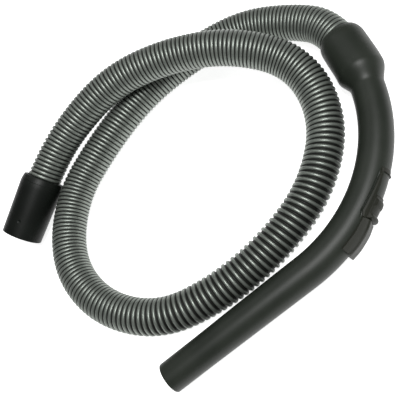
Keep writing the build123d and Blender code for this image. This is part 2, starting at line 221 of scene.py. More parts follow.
# %% Place points on the handle and on the cuff
def on_handle(distance, radius, angle):
    """Point = line(distance) + radius * (cos(angle) * outwards + sin(angle) * square). The line is straight,
    then an arc, then straight again: x = out * sin(turn) and y = out * cos(turn) about the bend's centre."""
    distance, radius, angle = np.broadcast_arrays(distance, radius, angle)
    turn = np.clip(distance - STRAIGHT, 0, BEND_R * BEND_ANGLE) / BEND_R
    beyond = np.minimum(distance - STRAIGHT, 0) + np.maximum(distance - WAND_START, 0)
    out = BEND_R + radius * np.cos(angle)
    x = STRAIGHT + out * np.sin(turn) + beyond * np.cos(turn)
    y = -BEND_R + out * np.cos(turn) - beyond * np.sin(turn)
    return handle_at + np.stack([x, y, radius * np.sin(angle)], axis=-1) @ handle_axes


def on_cuff(distance, radius, angle):
    """Point = mouth + distance * X + radius * (cos(angle) * Z + sin(angle) * Y): angle 0 is the top."""
    distance, radius, angle = np.broadcast_arrays(distance, radius, angle)
    return cuff_at + np.stack([distance, radius * np.sin(angle), radius * np.cos(angle)], axis=-1) @ cuff_axes


def around(count):
    """Angles of a full turn, the last one step short of the first."""
    return np.arange(count) * 2 * np.pi / count


def steps(*stops):
    """Metres from a first value and (end, count) pairs in millimetres: each stretch runs from the last end
    to the next in count equal steps."""
    values = [np.array([stops[0]], float)]
    for end, count in stops[1:]:
        values.append(np.linspace(values[-1][-1], end, count + 1)[1:])
    return np.concatenate(values) * MM


def ease(share):
    """Smooth step from 0 to 1: 3 t^2 - 2 t^3, flat before and after."""
    share = np.clip(share, 0, 1)
    return share * share * (3 - 2 * share)


print("wand tip at", np.round(on_handle(HANDLE_LEN, 0, 0), 4))


# %% [markdown]
# ## The hose's line
#
# A hose lies in even curves: its stiffness spreads every turn. A NURBS spline through a few control
# points does the same, so the route is a short list of points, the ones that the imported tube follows. It
# starts at the stop in the handle's swivel sleeve, runs along the floor, climbs over its own first
# stretch, and ends at the stop in the cuff's sleeve. A bent-pipe path of straights and arcs would show
# its joints in the ribs.

# %% Draw the route as a spline and read its points
HOSE_R = 19 * MM
HOSE_BORE_R = 16 * MM
HOSE_GRIP = 26 * MM
HANDLE_LEAD = 16 * MM
CUFF_LEAD = 20 * MM
FLOOR = 19
HOSE_ROUTE = [
    (30, 204, 22),
    (-30, 216, FLOOR),
    (-99, 190, FLOOR),
    (-155, 153, FLOOR),
    (-202, 97, FLOOR),
    (-237, 38, FLOOR),
    (-237, -36, FLOOR),
    (-193, -89, FLOOR),
    (-123, -109, FLOOR),
    (-58, -85, FLOOR),
    (-1, -44, FLOOR),
    (43, 9, FLOOR),
    (61, 80, FLOOR),
    (37, 143, 35),
    (-27, 167, 55),
    (-99, 171, 59),
    (-168, 156, 58),
    (-223, 119, 47),
]


def spline_points(name, points, resolution):
    """Points along a NURBS curve of order 3 through its first and last control point, as Blender draws it."""
    curve = bpy.data.curves.new(name, "CURVE")
    curve.dimensions = "3D"
    spline = curve.splines.new("NURBS")
    spline.points.add(len(points) - 1)
    spline.points.foreach_set("co", np.column_stack([points, np.ones(len(points))]).ravel())
    spline.order_u = 3
    spline.use_endpoint_u = True
    spline.resolution_u = resolution
    holder = bpy.data.objects.new(name, curve)
    line = bpy.data.meshes.new_from_object(holder)
    found = np.zeros(len(line.vertices) * 3)
    line.vertices.foreach_get("co", found)
    bpy.data.objects.remove(holder)
    bpy.data.meshes.remove(line)
    bpy.data.curves.remove(curve)
    return found.reshape(-1, 3)


route = [handle_at + handle_axes[0] * HOSE_GRIP, handle_at - handle_axes[0] * HANDLE_LEAD]
route += [np.array(point) * MM for point in HOSE_ROUTE]
route += [cuff_at - cuff_axes[0] * CUFF_LEAD, cuff_at + cuff_axes[0] * HOSE_GRIP]
centre_line = spline_points("hose_route", np.array(route), resolution=24)
run_to = np.concatenate([[0], np.cumsum(np.linalg.norm(np.diff(centre_line, axis=0), axis=1))])
HOSE_LEN = run_to[-1]
print("hose", round(HOSE_LEN, 4), "m on", len(centre_line), "points")


# %% [markdown]
# ## The corrugation
#
# The hose is a thin plastic strip wound into a helix, with a round rib and a narrow groove in each turn.
# It stretches like a spring: the ribs stand apart where it is pulled and close up where it is pushed
# together, and round a bend they close on the inside and open on the outside. So the ribs are geometry,
# not a bump, and the grid follows the helix: a row of points is one phase of the rib, shifted by one
# rib over each turn, and the rib's share of its turn is its own width over the room it has there.

# %% Frames along the hose
# Each pair is a share of the hose's length and the rib's pitch there in millimetres.
RIB_PITCH = [(0, 4.4), (0.05, 4.5), (0.12, 4.4), (0.22, 5.0), (0.34, 4.45), (0.42, 4.9), (0.5, 6.0),
             (0.6, 6.35), (0.66, 5.6), (0.74, 4.15), (0.84, 4.8), (1, 5.1)]
RIB_WIDTH = 4.2 * MM
GROOVE_DEPTH = 2.3 * MM
GROOVE_R = HOSE_R - GROOVE_DEPTH
HOSE_COLUMNS = 40
FINE_COUNT = 4000
SMOOTHING = 41

fine = np.linspace(0, HOSE_LEN, FINE_COUNT)
pitch_at, pitch_mm = np.array(RIB_PITCH).T
pitch_fine = np.interp(fine / HOSE_LEN, pitch_at, pitch_mm) * MM
ribs_to = np.concatenate([[0], np.cumsum(np.diff(fine) / pitch_fine[1:])])
RIBS = int(ribs_to[-1])
ribs_to *= RIBS / ribs_to[-1]


def hose_frames(distance):
    """Point, side and upward directions, and the curvature vector of the line, at each distance along it.
    The tangent is the line's slope averaged over a short window. The side is the tangent crossed with the
    vertical, which never meets it because the hose lies down everywhere."""
    smooth = np.stack([np.interp(fine, run_to, centre_line[:, axis]) for axis in range(3)], axis=-1)
    window = np.hanning(SMOOTHING) / np.hanning(SMOOTHING).sum()
    margin = (SMOOTHING // 2, SMOOTHING // 2)
    spread = np.pad(np.gradient(smooth, fine, axis=0), (margin, (0, 0)), mode="edge")
    tangent = unit(np.stack([np.convolve(spread[:, axis], window, "valid") for axis in range(3)], axis=-1))
    curving = np.gradient(tangent, fine, axis=0)

    def sample(values):
        return np.stack([np.interp(distance, fine, values[:, axis]) for axis in range(3)], axis=-1)

    along = unit(sample(tangent))
    side = unit(np.cross(along, (0, 0, 1)))
    return sample(smooth), side, np.cross(side, along), sample(curving)


print(RIBS, "ribs, mean pitch", round(HOSE_LEN / RIBS / MM, 2), "mm")

# %% Wind the ribs
# A turn is at least and at most so full of rib, and a groove loses depth as its turn fills.
CREST_STEPS = np.array([-1, -0.8, -0.45, 0, 0.45, 0.8, 1])
LEAST_FULL = 0.3
MOST_FULL = 0.84
SQUEEZED_FROM = 0.72
SQUEEZED_OVER = 0.14
SQUEEZED_LOSS = 0.45


def rib_surface():
    """Points of the helix as rows x columns. Row = rib number + phase, and its distance along the line is
    that plus a share of a rib for the angle. Inside a rib the radius is a half ellipse over its width, and
    between two ribs it is the groove's radius. A rib that nearly fills its room has a shallower groove.
    Returns the points, and the rib's height from 0 to 1."""
    angle = np.linspace(0, 2 * np.pi, HOSE_COLUMNS + 1)
    rib = np.arange(-2, RIBS + 1)[:, None] + np.zeros(len(CREST_STEPS) + 1)
    centre = rib[..., None] + 0.5 + angle / (2 * np.pi)
    at = np.interp(np.clip(centre, 0, RIBS), ribs_to, fine)
    turn = np.tile(angle, rib.size)[:, None]
    _, side, upright, curving = hose_frames(at.ravel())
    outward = upright * np.cos(turn) + side * np.sin(turn)
    room = 1 - HOSE_R * np.einsum("ij,ij->i", curving, outward).reshape(at.shape)
    pitch = np.interp(at, fine, pitch_fine) * room
    full = np.clip(RIB_WIDTH / pitch, LEAST_FULL, MOST_FULL)
    phase = np.append(CREST_STEPS, 0)[:, None] * full / 2
    phase[:, -1] = 0.5
    height = np.append(np.sqrt(1 - CREST_STEPS ** 2), 0)[:, None] + np.zeros(len(angle))
    height = np.broadcast_to(height, at.shape)
    wound = centre + phase
    distance = np.interp(wound, ribs_to, fine)
    place, side, upright, _ = hose_frames(distance.ravel())
    outward = upright * np.cos(turn) + side * np.sin(turn)
    shallow = 1 - SQUEEZED_LOSS * ease((full - SQUEEZED_FROM) / SQUEEZED_OVER)
    radius = HOSE_R - GROOVE_DEPTH * shallow * (1 - height)
    radius = np.where((wound > 0) & (wound < RIBS), radius, GROOVE_R)
    points = place + outward * radius.reshape(-1, 1)
    shape = (rib.size, len(angle))
    return points.reshape(*shape, 3), height.reshape(shape)


def hose_piece():
    """The wound outside, whose last column is its first one rib further on, a plain bore inside, and an
    end face at each end. Rows before the first rib and after the last lie flat in the end faces."""
    outside, height = rib_surface()
    rows, columns = outside.shape[:2]
    outer = np.arange(rows * columns).reshape(rows, columns)
    faces = [grid_faces(outer, wraps=False).reshape(-1, 4)]
    bore_at = np.linspace(0, HOSE_LEN, RIBS)
    place, side, upright, _ = hose_frames(bore_at)
    angle = np.linspace(0, 2 * np.pi, HOSE_COLUMNS + 1)
    outward = upright[:, None] * np.cos(angle)[:, None] + side[:, None] * np.sin(angle)[:, None]
    bore = place[:, None] + outward * HOSE_BORE_R
    inner = outer.size + np.arange(RIBS * columns).reshape(RIBS, columns)
    faces.append(grid_faces(inner, wraps=False).reshape(-1, 4)[:, ::-1])
    for outer_row, inner_row, order in ((outer[0], inner[0], 1), (outer[-1], inner[-1], -1)):
        wall = np.stack([outer_row[:-1], outer_row[1:], inner_row[1:], inner_row[:-1]], axis=-1)
        faces.append(wall[:, ::order])
    points = np.concatenate([outside.reshape(-1, 3), bore.reshape(-1, 3)])
    piece, first = new_piece("corrugated_hose", points, np.concatenate(faces))
    layer = piece.data.attributes.new("rib_height", "FLOAT", "POINT")
    heights = np.concatenate([height.ravel(), np.zeros(bore.size // 3)])
    layer.data.foreach_set("value", heights[first].astype(np.float32))
    return piece


hose = hose_piece()


# %% [markdown]
# ## Handle
#
# The handle is one moulding: a bulb that holds the swivel, a soft shoulder, a bent grip and a straight
# wand that an extension tube slides over. Its radius is a function of the distance along its line, so one
# sheet of points makes the outside and a second one the air way. Under the regulator's slider the wall
# has a slot, the vent, where the cells are left out, and beside the regulator's frame runs a shallow
# channel that dirt and shadow make dark. A cylinder with a Curve modifier would bend too, but its bulb
# and its bore would then need their own modifiers.

# %% Work out the handle's radii
MOUTH_R = 20.75 * MM
BULB_R = 23.75 * MM
BULB_ROUND = 12 * MM
BULB_LEN = 46 * MM
SHOULDER_LEN = 20 * MM
GRIP_R = 16.5 * MM
GRIP_BORE_R = 13.9 * MM
SPIGOT_R = 15.6 * MM
SPIGOT_BORE_R = 13.2 * MM
SPIGOT_START = HANDLE_LEN - 40 * MM
RIM_ROUND = 1.6 * MM
RIM_DROP = 1.0 * MM
RIM_FLARE = 0.5 * MM
RING_FACE = 7 * MM
SOCKET_BORE_R = 21.75 * MM
SOCKET_DEPTH = 30.5 * MM
VENT = (150.8 * MM + STRAIGHT, 162.8 * MM + STRAIGHT)
VENT_DEG = 12
RAIL_DEG = 54
FLANK_AT = (121, 140, 150, 163, 170, 180)
FLANK_DEG = (0, 6, 9, 11, 2, -3)
CHANNEL = (STRAIGHT + 124 * MM, STRAIGHT + 170 * MM)
CHANNEL_EASE = (8 * MM, 6 * MM)
CHANNEL_DEPTH = 1.0 * MM
CHANNEL_HALF_DEG = 2.6


def mouth_round(distance, mouth_r, full_r, length):
    """Radius near a mouth: full_r less (full_r - mouth_r) * (1 - distance / length) ^ 2.4."""
    return full_r - (full_r - mouth_r) * np.clip(1 - distance / length, 0, 1) ** 2.4


def rim_round(distance, end, depth, length):
    """What a quarter ellipse takes off the radius over the last stretch before an end."""
    share = np.clip((distance - end + length) / length, 0, 1)
    return depth * (1 - np.sqrt(1 - share ** 2))


def wand_share(distance):
    """0 up to the wand's start, 1 from the spigot's start, and straight between them."""
    return np.clip((distance - WAND_START) / (SPIGOT_START - WAND_START), 0, 1)


def handle_outside(distance):
    """Mouth's curve, less the shoulder's smooth step, less the wand's straight taper, less the rim's
    round."""
    radius = mouth_round(distance, MOUTH_R, BULB_R, BULB_ROUND)
    radius = radius - (BULB_R - GRIP_R) * ease((distance - BULB_LEN) / SHOULDER_LEN)
    radius = radius - (GRIP_R - SPIGOT_R) * wand_share(distance)
    return radius - rim_round(distance, HANDLE_LEN, RIM_DROP, RIM_ROUND)


def handle_inside(distance):
    """Socket's bore, less a smooth funnel to the grip's bore, less the wand's taper, plus the rim's round."""
    funnel = ease((distance - SOCKET_DEPTH) / (BULB_LEN + SHOULDER_LEN - SOCKET_DEPTH))
    radius = SOCKET_BORE_R - (SOCKET_BORE_R - GRIP_BORE_R) * funnel
    radius = radius - (GRIP_BORE_R - SPIGOT_BORE_R) * wand_share(distance)
    return radius + rim_round(distance, HANDLE_LEN, RIM_FLARE, RIM_ROUND)


def flank(distance):
    """Degrees by which the regulator's rails spread beside the slider and draw in along the hump."""
    return np.interp((distance - STRAIGHT) / MM, FLANK_AT, FLANK_DEG)


def channel(distance, angle):
    """Depth of the channel beside each rail: a parabola across, 1 - (off / half width)^2, that eases in
    and out along it."""
    degrees = np.abs((np.degrees(angle) + 180) % 360 - 180)
    off = (degrees - RAIL_DEG - flank(distance) - CHANNEL_HALF_DEG) / CHANNEL_HALF_DEG
    ends = ease((distance - CHANNEL[0]) / CHANNEL_EASE[0]) * ease((CHANNEL[1] - distance) / CHANNEL_EASE[1])
    return CHANNEL_DEPTH * ends * np.clip(1 - off ** 2, 0, 1)


rows = steps(RING_FACE / MM, (BULB_LEN / MM, 40), ((BULB_LEN + SHOULDER_LEN) / MM, 30), (VENT[0] / MM, 60),
             (VENT[1] / MM, 8), (WAND_START / MM, 36), ((HANDLE_LEN - RIM_ROUND) / MM, 60),
             (HANDLE_LEN / MM, 8))[:, None]
columns = np.radians(np.arange(0, 360, 3))
beside_rails = np.radians(np.arange(55, 72))
columns = np.unique(np.round(np.concatenate([columns, beside_rails, 2 * np.pi - beside_rails]), 6))
next_columns = np.append(columns[1:], 2 * np.pi)
cell_row = (rows[:-1, 0] + rows[1:, 0]) / 2
cell_degrees = np.abs((np.degrees(columns + next_columns) / 2 + 180) % 360 - 180)
in_vent = ((cell_row > VENT[0]) & (cell_row < VENT[1]))[:, None] & (cell_degrees < VENT_DEG)
outside = handle_outside(rows) - channel(rows, columns)
handle = shell("handle_moulding", on_handle(rows, outside, columns),
               on_handle(rows, handle_inside(rows), columns), keep=~in_vent)
round_edges(handle, 0.3 * MM)


# %% [markdown]
# ## Mouth rings
#
# At each mouth a ring is pressed into the socket: it keeps the swivel's flange in, and its lip leaves a
# dark gap round the hose. Its face carries on the curve of the moulding behind it, so both use the same
# formula. A profile drawn for the ring alone could leave a kink at the seam.

# %% Make the rings of both mouths
LIP_R = 19.9 * MM
RING_BORE_R = 20.6 * MM
RING_END = 15 * MM
LIP_DEPTH = 2.7 * MM
MOUTH_EDGE = 0.8 * MM
MOUTH_EDGE_DROP = 0.55 * MM
LIP_FLARE = 0.4 * MM
SEAM_WIDTH = 0.2 * MM
SEAM_DROP = 0.25 * MM
PRESS_GAP = 0.05 * MM
CUFF_MOUTH_R = 22.4 * MM
CUFF_R = 24 * MM
CUFF_FLARE = 12 * MM


def mouth_ring(name, place, mouth_r, full_r, length):
    """Ring from the mouth to RING_END: the outside follows the mouth's curve to the seam and then steps into
    the socket, the inside is the lip and then the bore that the sleeve turns in. The mouth's edge and the
    seam are parabolas: drop * (1 - distance / width)^2."""
    face = RING_FACE / MM
    rows = steps(0, (MOUTH_EDGE / MM, 5), (face - 0.15, 16), (face, 2), (face + 0.02, 1), (RING_END / MM, 4))
    rows = rows[:, None]
    edge = np.clip(1 - rows / MOUTH_EDGE, 0, 1) ** 2
    seam = np.clip((rows - RING_FACE + SEAM_WIDTH) / SEAM_WIDTH, 0, 1) ** 2
    outside = mouth_round(rows, mouth_r, full_r, length) - MOUTH_EDGE_DROP * edge - SEAM_DROP * seam
    outside = np.where(rows > RING_FACE, SOCKET_BORE_R - PRESS_GAP, outside)
    inside = np.where(rows < LIP_DEPTH, LIP_R + LIP_FLARE * edge, RING_BORE_R)
    columns = around(120)
    ring = shell(name, place(rows, outside, columns), place(rows, inside, columns))
    return round_edges(ring, 0.12 * MM)


socket_ring = mouth_ring("socket_mouth_ring", on_handle, MOUTH_R, BULB_R, BULB_ROUND)
cuff_ring = mouth_ring("cuff_mouth_ring", on_cuff, CUFF_MOUTH_R, CUFF_R, CUFF_FLARE)


# %% [markdown]
# ## Cuff
#
# The cuff is a short black tube that a hand holds while it goes over the machine's inlet. It swells
# behind its mouth and narrows a little towards its open end, as a moulding has to so that it leaves its
# tool. Near that end is the small round mark that the tool's gate left. The mark could be cut with a
# Boolean, but a bowl in the radius keeps the sheet in one piece, on a grid that is finer round it.

# %% Make the cuff
CUFF_LEN = 71.5 * MM
CUFF_END_R = 22.6 * MM
GASKET_AT = 38.5 * MM
GASKET_SEAT_R = 20.7 * MM
PORT_AT = 40.5 * MM
PORT_R = 19.5 * MM
GATE_AT = (53 * MM, np.radians(22))
GATE_R = 2.1 * MM
GATE_DEPTH = 0.9 * MM
GATE_BAND = 3 * MM
OPEN_EDGE = 1.2 * MM
OPEN_EDGE_DROP = 0.8 * MM
OPEN_EDGE_FLARE = 0.6 * MM


def cuff_outside(distance, angle):
    """Mouth's curve, then a straight taper, then a rounded edge, less the gate's bowl:
    depth * (1 - (d / r)^2)^2."""
    radius = mouth_round(distance, CUFF_MOUTH_R, CUFF_R, CUFF_FLARE)
    radius = radius - (CUFF_R - CUFF_END_R) * np.clip((distance - CUFF_FLARE) / (CUFF_LEN - CUFF_FLARE), 0, 1)
    radius = radius - rim_round(distance, CUFF_LEN, OPEN_EDGE_DROP, OPEN_EDGE)
    off = np.hypot(distance - GATE_AT[0], CUFF_R * (angle - GATE_AT[1])) / GATE_R
    return radius - GATE_DEPTH * np.clip(1 - off ** 2, 0, 1) ** 2


def cuff_inside(distance):
    """Socket bore, the web's hole, the gasket's seat and the port, one after another."""
    radius = np.where(distance < SOCKET_DEPTH, SOCKET_BORE_R, HOSE_BORE_R)
    radius = np.where(distance > GASKET_AT, GASKET_SEAT_R, radius)
    radius = np.where(distance > PORT_AT, PORT_R, radius)
    return radius + rim_round(distance, CUFF_LEN, OPEN_EDGE_FLARE, OPEN_EDGE)


rows = steps(RING_FACE / MM, (SOCKET_DEPTH / MM - 0.1, 24), (SOCKET_DEPTH / MM + 0.1, 1),
             (GASKET_AT / MM - 0.05, 6), (GASKET_AT / MM + 0.05, 1), (PORT_AT / MM - 0.05, 2),
             (PORT_AT / MM + 0.05, 1), ((GATE_AT[0] - GATE_BAND) / MM, 8),
             ((GATE_AT[0] + GATE_BAND) / MM, 24), ((CUFF_LEN - OPEN_EDGE) / MM, 14),
             (CUFF_LEN / MM, 6))[:, None]
near_gate = 2 * GATE_AT[1]
fine_angles = np.concatenate([np.linspace(0, near_gate, 48, endpoint=False),
                              np.linspace(near_gate, 2 * np.pi, 100, endpoint=False)])
cuff = shell("cuff_moulding", on_cuff(rows, cuff_outside(rows, fine_angles), fine_angles),
             on_cuff(rows, cuff_inside(rows), fine_angles))
round_edges(cuff, 0.2 * MM)


# %% [markdown]
# ## Suction regulator
#
# A frame sits on the outside of the bend: two lipped rails, a bridge across their upper end and a hump
# at the lower one. Between them slides a saddle with two finger ridges. Modelled flat they would have to
# be bent afterwards. Both are sheets round the grip, so they are drawn by their height over it, and the
# frame's window is cells left out of its grid.

# %% Make the frame
TRACK_START = STRAIGHT + 121 * MM
BRIDGE_END = TRACK_START + 4 * MM
SLIDER_START = STRAIGHT + 146 * MM
SLIDER_LEN = 21.6 * MM
HUMP_START = SLIDER_START + SLIDER_LEN + 0.4 * MM
HUMP_LEN = 32.5 * MM
RAIL_RISE = 2.2 * MM
LIP_DEG = 48
UNDER_LIP_DEG = 51.2
UNDER_LIP_RISE = 1.4 * MM
SEAT = GRIP_R + 0.05 * MM
FRAME_EDGE = 0.25 * MM
FLUSH_OVER = 6 * MM
BRIDGE_RISE = 0.2 * MM
HUMP_SAMPLES = 61
HUMP_SMOOTHING = 19
EDGE_POWER = 12
ROW_SLACK = 1e-6


def hump_rise(share):
    """Height of the hump's crest over the grip: 1.4 mm beside the slider, 4 mm at its highest, and 3.4 mm
    at its step."""
    return np.interp(share, [0, 0.25, 0.7, 1], np.array([1.4, 3.1, 4.0, 3.4]) * MM)


def hump_radius(distance, angle):
    """A flat top and upright sides, top / cos(angle) and width / sin(angle), joined by a power mean as a
    round edge. The crest's height is averaged over a short window, so it has no corners."""
    smooth = np.linspace(0, 1, HUMP_SAMPLES)
    kernel = np.hanning(HUMP_SMOOTHING) / np.hanning(HUMP_SMOOTHING).sum()
    crest = np.pad(hump_rise(smooth), HUMP_SMOOTHING // 2, mode="reflect", reflect_type="odd")
    rise = np.convolve(crest, kernel, "valid")
    top = GRIP_R + np.interp((distance - HUMP_START) / HUMP_LEN, smooth, rise)
    flat = top / np.cos(angle)
    width = GRIP_R * np.sin(np.radians(RAIL_DEG - 1 + np.minimum(flank(distance), 0)))
    upright = width / np.maximum(np.abs(np.sin(angle)), 1e-3)
    return (flat ** -EDGE_POWER + upright ** -EDGE_POWER) ** (-1 / EDGE_POWER)


def track_outside(distance, angle):
    """Rails that rise from the grip in a smooth step and have a rounded outer edge, the thin bridge between
    them, and the hump from its start on."""
    degrees = np.abs(np.degrees(angle))
    flush = ease((distance - TRACK_START) / FLUSH_OVER)
    round_off = 1 - 0.35 * ease((degrees - 52.8) / 1.2)
    rail = GRIP_R + (FRAME_EDGE + (RAIL_RISE - FRAME_EDGE) * flush) * round_off
    bridge_share = ease((distance - TRACK_START) / (BRIDGE_END - TRACK_START))
    bridge = GRIP_R + FRAME_EDGE + BRIDGE_RISE * bridge_share + 0 * degrees
    frame_part = np.where(degrees < LIP_DEG - 0.5, bridge, rail)
    hump = np.maximum(hump_radius(distance, angle), SEAT + 0.3 * MM)
    return np.where(distance > HUMP_START - ROW_SLACK, hump, frame_part)


def track_inside(distance, angle):
    """The seat on the grip, raised under the lips where the slider's feet run."""
    degrees = np.abs(np.degrees(angle)) + 0 * distance
    under = (degrees < UNDER_LIP_DEG) & (distance > BRIDGE_END - ROW_SLACK) & (distance < HUMP_START)
    return np.where(under, GRIP_R + UNDER_LIP_RISE, SEAT)


rows = steps(TRACK_START / MM, (BRIDGE_END / MM - 0.05, 6), (BRIDGE_END / MM, 1),
             (HUMP_START / MM - 0.05, 60), (HUMP_START / MM, 1), ((HUMP_START + HUMP_LEN) / MM, 44))[:, None]
half = [*range(0, 33, 4), 35, 38, 40.5, 43, 45.5, 47.4, 48, 49, 50, 51.1, 51.3, 52.1, 52.7, 53.3, RAIL_DEG]
columns = np.radians(np.concatenate([-np.array(half[:0:-1]), half]))
cell_row = (rows[:-1, 0] + rows[1:, 0]) / 2
cell_degrees = np.degrees(np.abs(columns[:-1] + columns[1:]) / 2)
window = ((cell_row > BRIDGE_END) & (cell_row < HUMP_START))[:, None] & (cell_degrees < LIP_DEG)
beyond_lip = np.maximum(np.abs(columns) - np.radians(UNDER_LIP_DEG), 0)
beyond_lip = beyond_lip / np.radians(RAIL_DEG - UNDER_LIP_DEG)
placed = columns + np.sign(columns) * beyond_lip * np.radians(np.maximum(flank(rows), 0))
track = shell("regulator_frame", on_handle(rows, track_outside(rows, columns), placed),
              on_handle(rows, track_inside(rows, columns), placed), wraps=False, keep=~window)
round_edges(track, 0.25 * MM)

# %% Make the slider
SLIDER_RISE = 2.1 * MM
SLIDER_GAP = 0.3 * MM
SLIDER_DEG = 47
FOOT_DEG = 50.2
FOOT_RISE = 1.1 * MM
RIDGE_DEG = 40
FINGER_RIDGES = ((1.0 * MM, 0.27, 0.15), (2.8 * MM, 0.86, 0.115))
APRON_DROP = 0.9 * MM
FLANK_DROP = 0.5 * MM


def hill(value, centre, half_width):
    """Rounded hill of height 1: (1 - (distance from the centre / half width)^2) ^ 0.6, and 0 outside it."""
    return np.clip(1 - ((value - centre) / half_width) ** 2, 0, 1) ** 0.6


def slider_outside(distance, angle):
    """Saddle, sides that fall to the feet, a broad ridge at the upper end and a narrow high one at the
    lower end, each a height times a hill."""
    share = (distance - SLIDER_START) / SLIDER_LEN
    degrees = np.abs(np.degrees(angle))
    inside = 1 - ease((degrees - RIDGE_DEG + 5) / 9)
    ridges = sum(height * hill(share, centre, half_width) for height, centre, half_width in FINGER_RIDGES)
    apron = APRON_DROP * (1 - ease((share - 0.03) / 0.12))
    body = GRIP_R + SLIDER_RISE - apron + ridges * inside - FLANK_DROP * ease((degrees - 43) / 4)
    body = body - rim_round(distance, SLIDER_START + SLIDER_LEN, 0.6 * MM, 1.2 * MM)
    return np.where(degrees > SLIDER_DEG + 0.05, GRIP_R + FOOT_RISE, body)


rows = steps(SLIDER_START / MM, ((SLIDER_START + SLIDER_LEN) / MM, 70))[:, None]
feet = [SLIDER_DEG + 0.1, 48.6, FOOT_DEG]
half = np.concatenate([np.linspace(0, 24, 9), np.linspace(26, SLIDER_DEG, 22), feet])
columns = np.radians(np.concatenate([-half[:0:-1], half]))
slider = shell("regulator_slide", on_handle(rows, slider_outside(rows, columns), columns),
               on_handle(rows, GRIP_R + SLIDER_GAP, columns), wraps=False)
round_edges(slider, 0.2 * MM)


# %% [markdown]
# ## What rides on what
#
# The handle carries its ring and the regulator's frame. The slider, the hose with its sleeves and the
# cuff are bodies of their own. Parenting by hand could do the same at rest, but it would not follow the
# joints.

# %% Tie every piece to its body
PLACES = (
    (handle, "handle", "handle_tube", "handle_plastic"),
    (socket_ring, "handle", "socket_ring", "handle_plastic"),
    (track, "handle", "regulator_track", "regulator_plastic"),
    (slider, "slider", "regulator_slider", "regulator_plastic"),
    (hose, "hose_line", "hose", "hose_plastic"),
    (cuff, "cuff", "cuff_shell", "cuff_plastic"),
    (cuff_ring, "cuff", "cuff_ring", "cuff_plastic"),
)
for piece, body, node, finish_slot in PLACES:
    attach(piece, body)
    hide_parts(node)


# %% [markdown]
# ## Shader maths
#
# A node tree is easier to read as sums and products. A Signal wraps one output socket, and the operators on
# it add Math nodes. A Finish is one material: its node method makes any other node from its type, its
# settings and its inputs.

# %% Define the two helpers
class Signal:
    """An output socket that can be added, subtracted and multiplied, with a number or a Signal."""

    def __init__(self, finish, socket):
        self.finish, self.socket = finish, socket

    def _math(self, operation, *values):
        return self.finish.node("Math", {"operation": operation}, dict(enumerate(values)))

    def __add__(self, other):
        return self._math("ADD", self, other)

    def __sub__(self, other):
        return self._math("SUBTRACT", self, other)

    def __rsub__(self, other):
        return self._math("SUBTRACT", other, self)

    def __mul__(self, other):
        return self._math("MULTIPLY", self, other)

    __radd__, __rmul__ = __add__, __mul__

    def between(self, low, high):
        """0 below low, 1 above high, and a smooth step between."""
        settings = {"interpolation_type": "SMOOTHSTEP"}
        return self.finish.node("MapRange", settings, {"Value": self, "From Min": low, "From Max": high})


class Finish:
    """One material with a Principled shader."""

    def __init__(self, name, **constants):
        self.material = bpy.data.materials.new(name)
        self.material.use_nodes = True
        self.tree = self.material.node_tree
        self.shader = self.tree.nodes["Principled BSDF"]
        self.place = self.node("TexCoord", {}, {}, "Object")
        for socket, value in constants.items():
            self.shader.inputs[socket.replace("_", " ")].default_value = value

    def node(self, kind, settings, inputs, output=0):
        """Make a node: its type, its settings, its inputs by name or number, and which output to return."""
        node = self.tree.nodes.new("ShaderNode" + kind)
        for name, value in settings.items():
            setattr(node, name, value)
        for name, value in inputs.items():
            self.feed(node.inputs[name], value)
        return Signal(self, node.outputs[output])

    def feed(self, socket, value):
        """Link a Signal to a socket, or set the socket to a number or a colour."""
        if isinstance(value, Signal):
            self.tree.links.new(value.socket, socket)
        else:
            socket.default_value = value

    def noise(self, scale, detail=2.0, stretch=None):
        """Noise from 0 to 1 with so many cells to a metre, on the piece's own place."""
        place = self.place
        if stretch is not None:
            place = self.node("Mapping", {}, {"Vector": place, "Scale": stretch})
        return self.node("TexNoise", {}, {"Vector": place, "Scale": scale, "Detail": detail}, "Fac")

    def attribute(self, name):
        """A value stored on the mesh's points."""
        return self.node("Attribute", {"attribute_name": name}, {}, "Fac")

    def mix(self, share, dark, light):
        """Colour between two colours, each three numbers or a Signal."""
        def colour(value):
            return value if isinstance(value, Signal) else (*value, 1.0)

        inputs = {0: share, 6: colour(dark), 7: colour(light)}
        return self.node("Mix", {"data_type": "RGBA"}, inputs, 2)

    def bump(self, height, distance, strength=1.0):
        """Normal from a height between 0 and 1 that stands for a distance in metres."""
        return self.node("Bump", {}, {"Strength": strength, "Distance": distance, "Height": height})

    def surface(self, colour, roughness, normal):
        """Feed the shader what changes over the surface, and return the material."""
        self.feed(self.shader.inputs["Base Color"], colour)
        self.feed(self.shader.inputs["Roughness"], roughness)
        self.feed(self.shader.inputs["Normal"], normal)
        return self.material


def paint(material, *pieces):
    """Give each piece this material and no other."""
    for piece in pieces:
        piece.data.materials.clear()
        piece.data.materials.append(material)
    print(material.name, "on", len(pieces), "piece" if len(pieces) == 1 else "pieces")
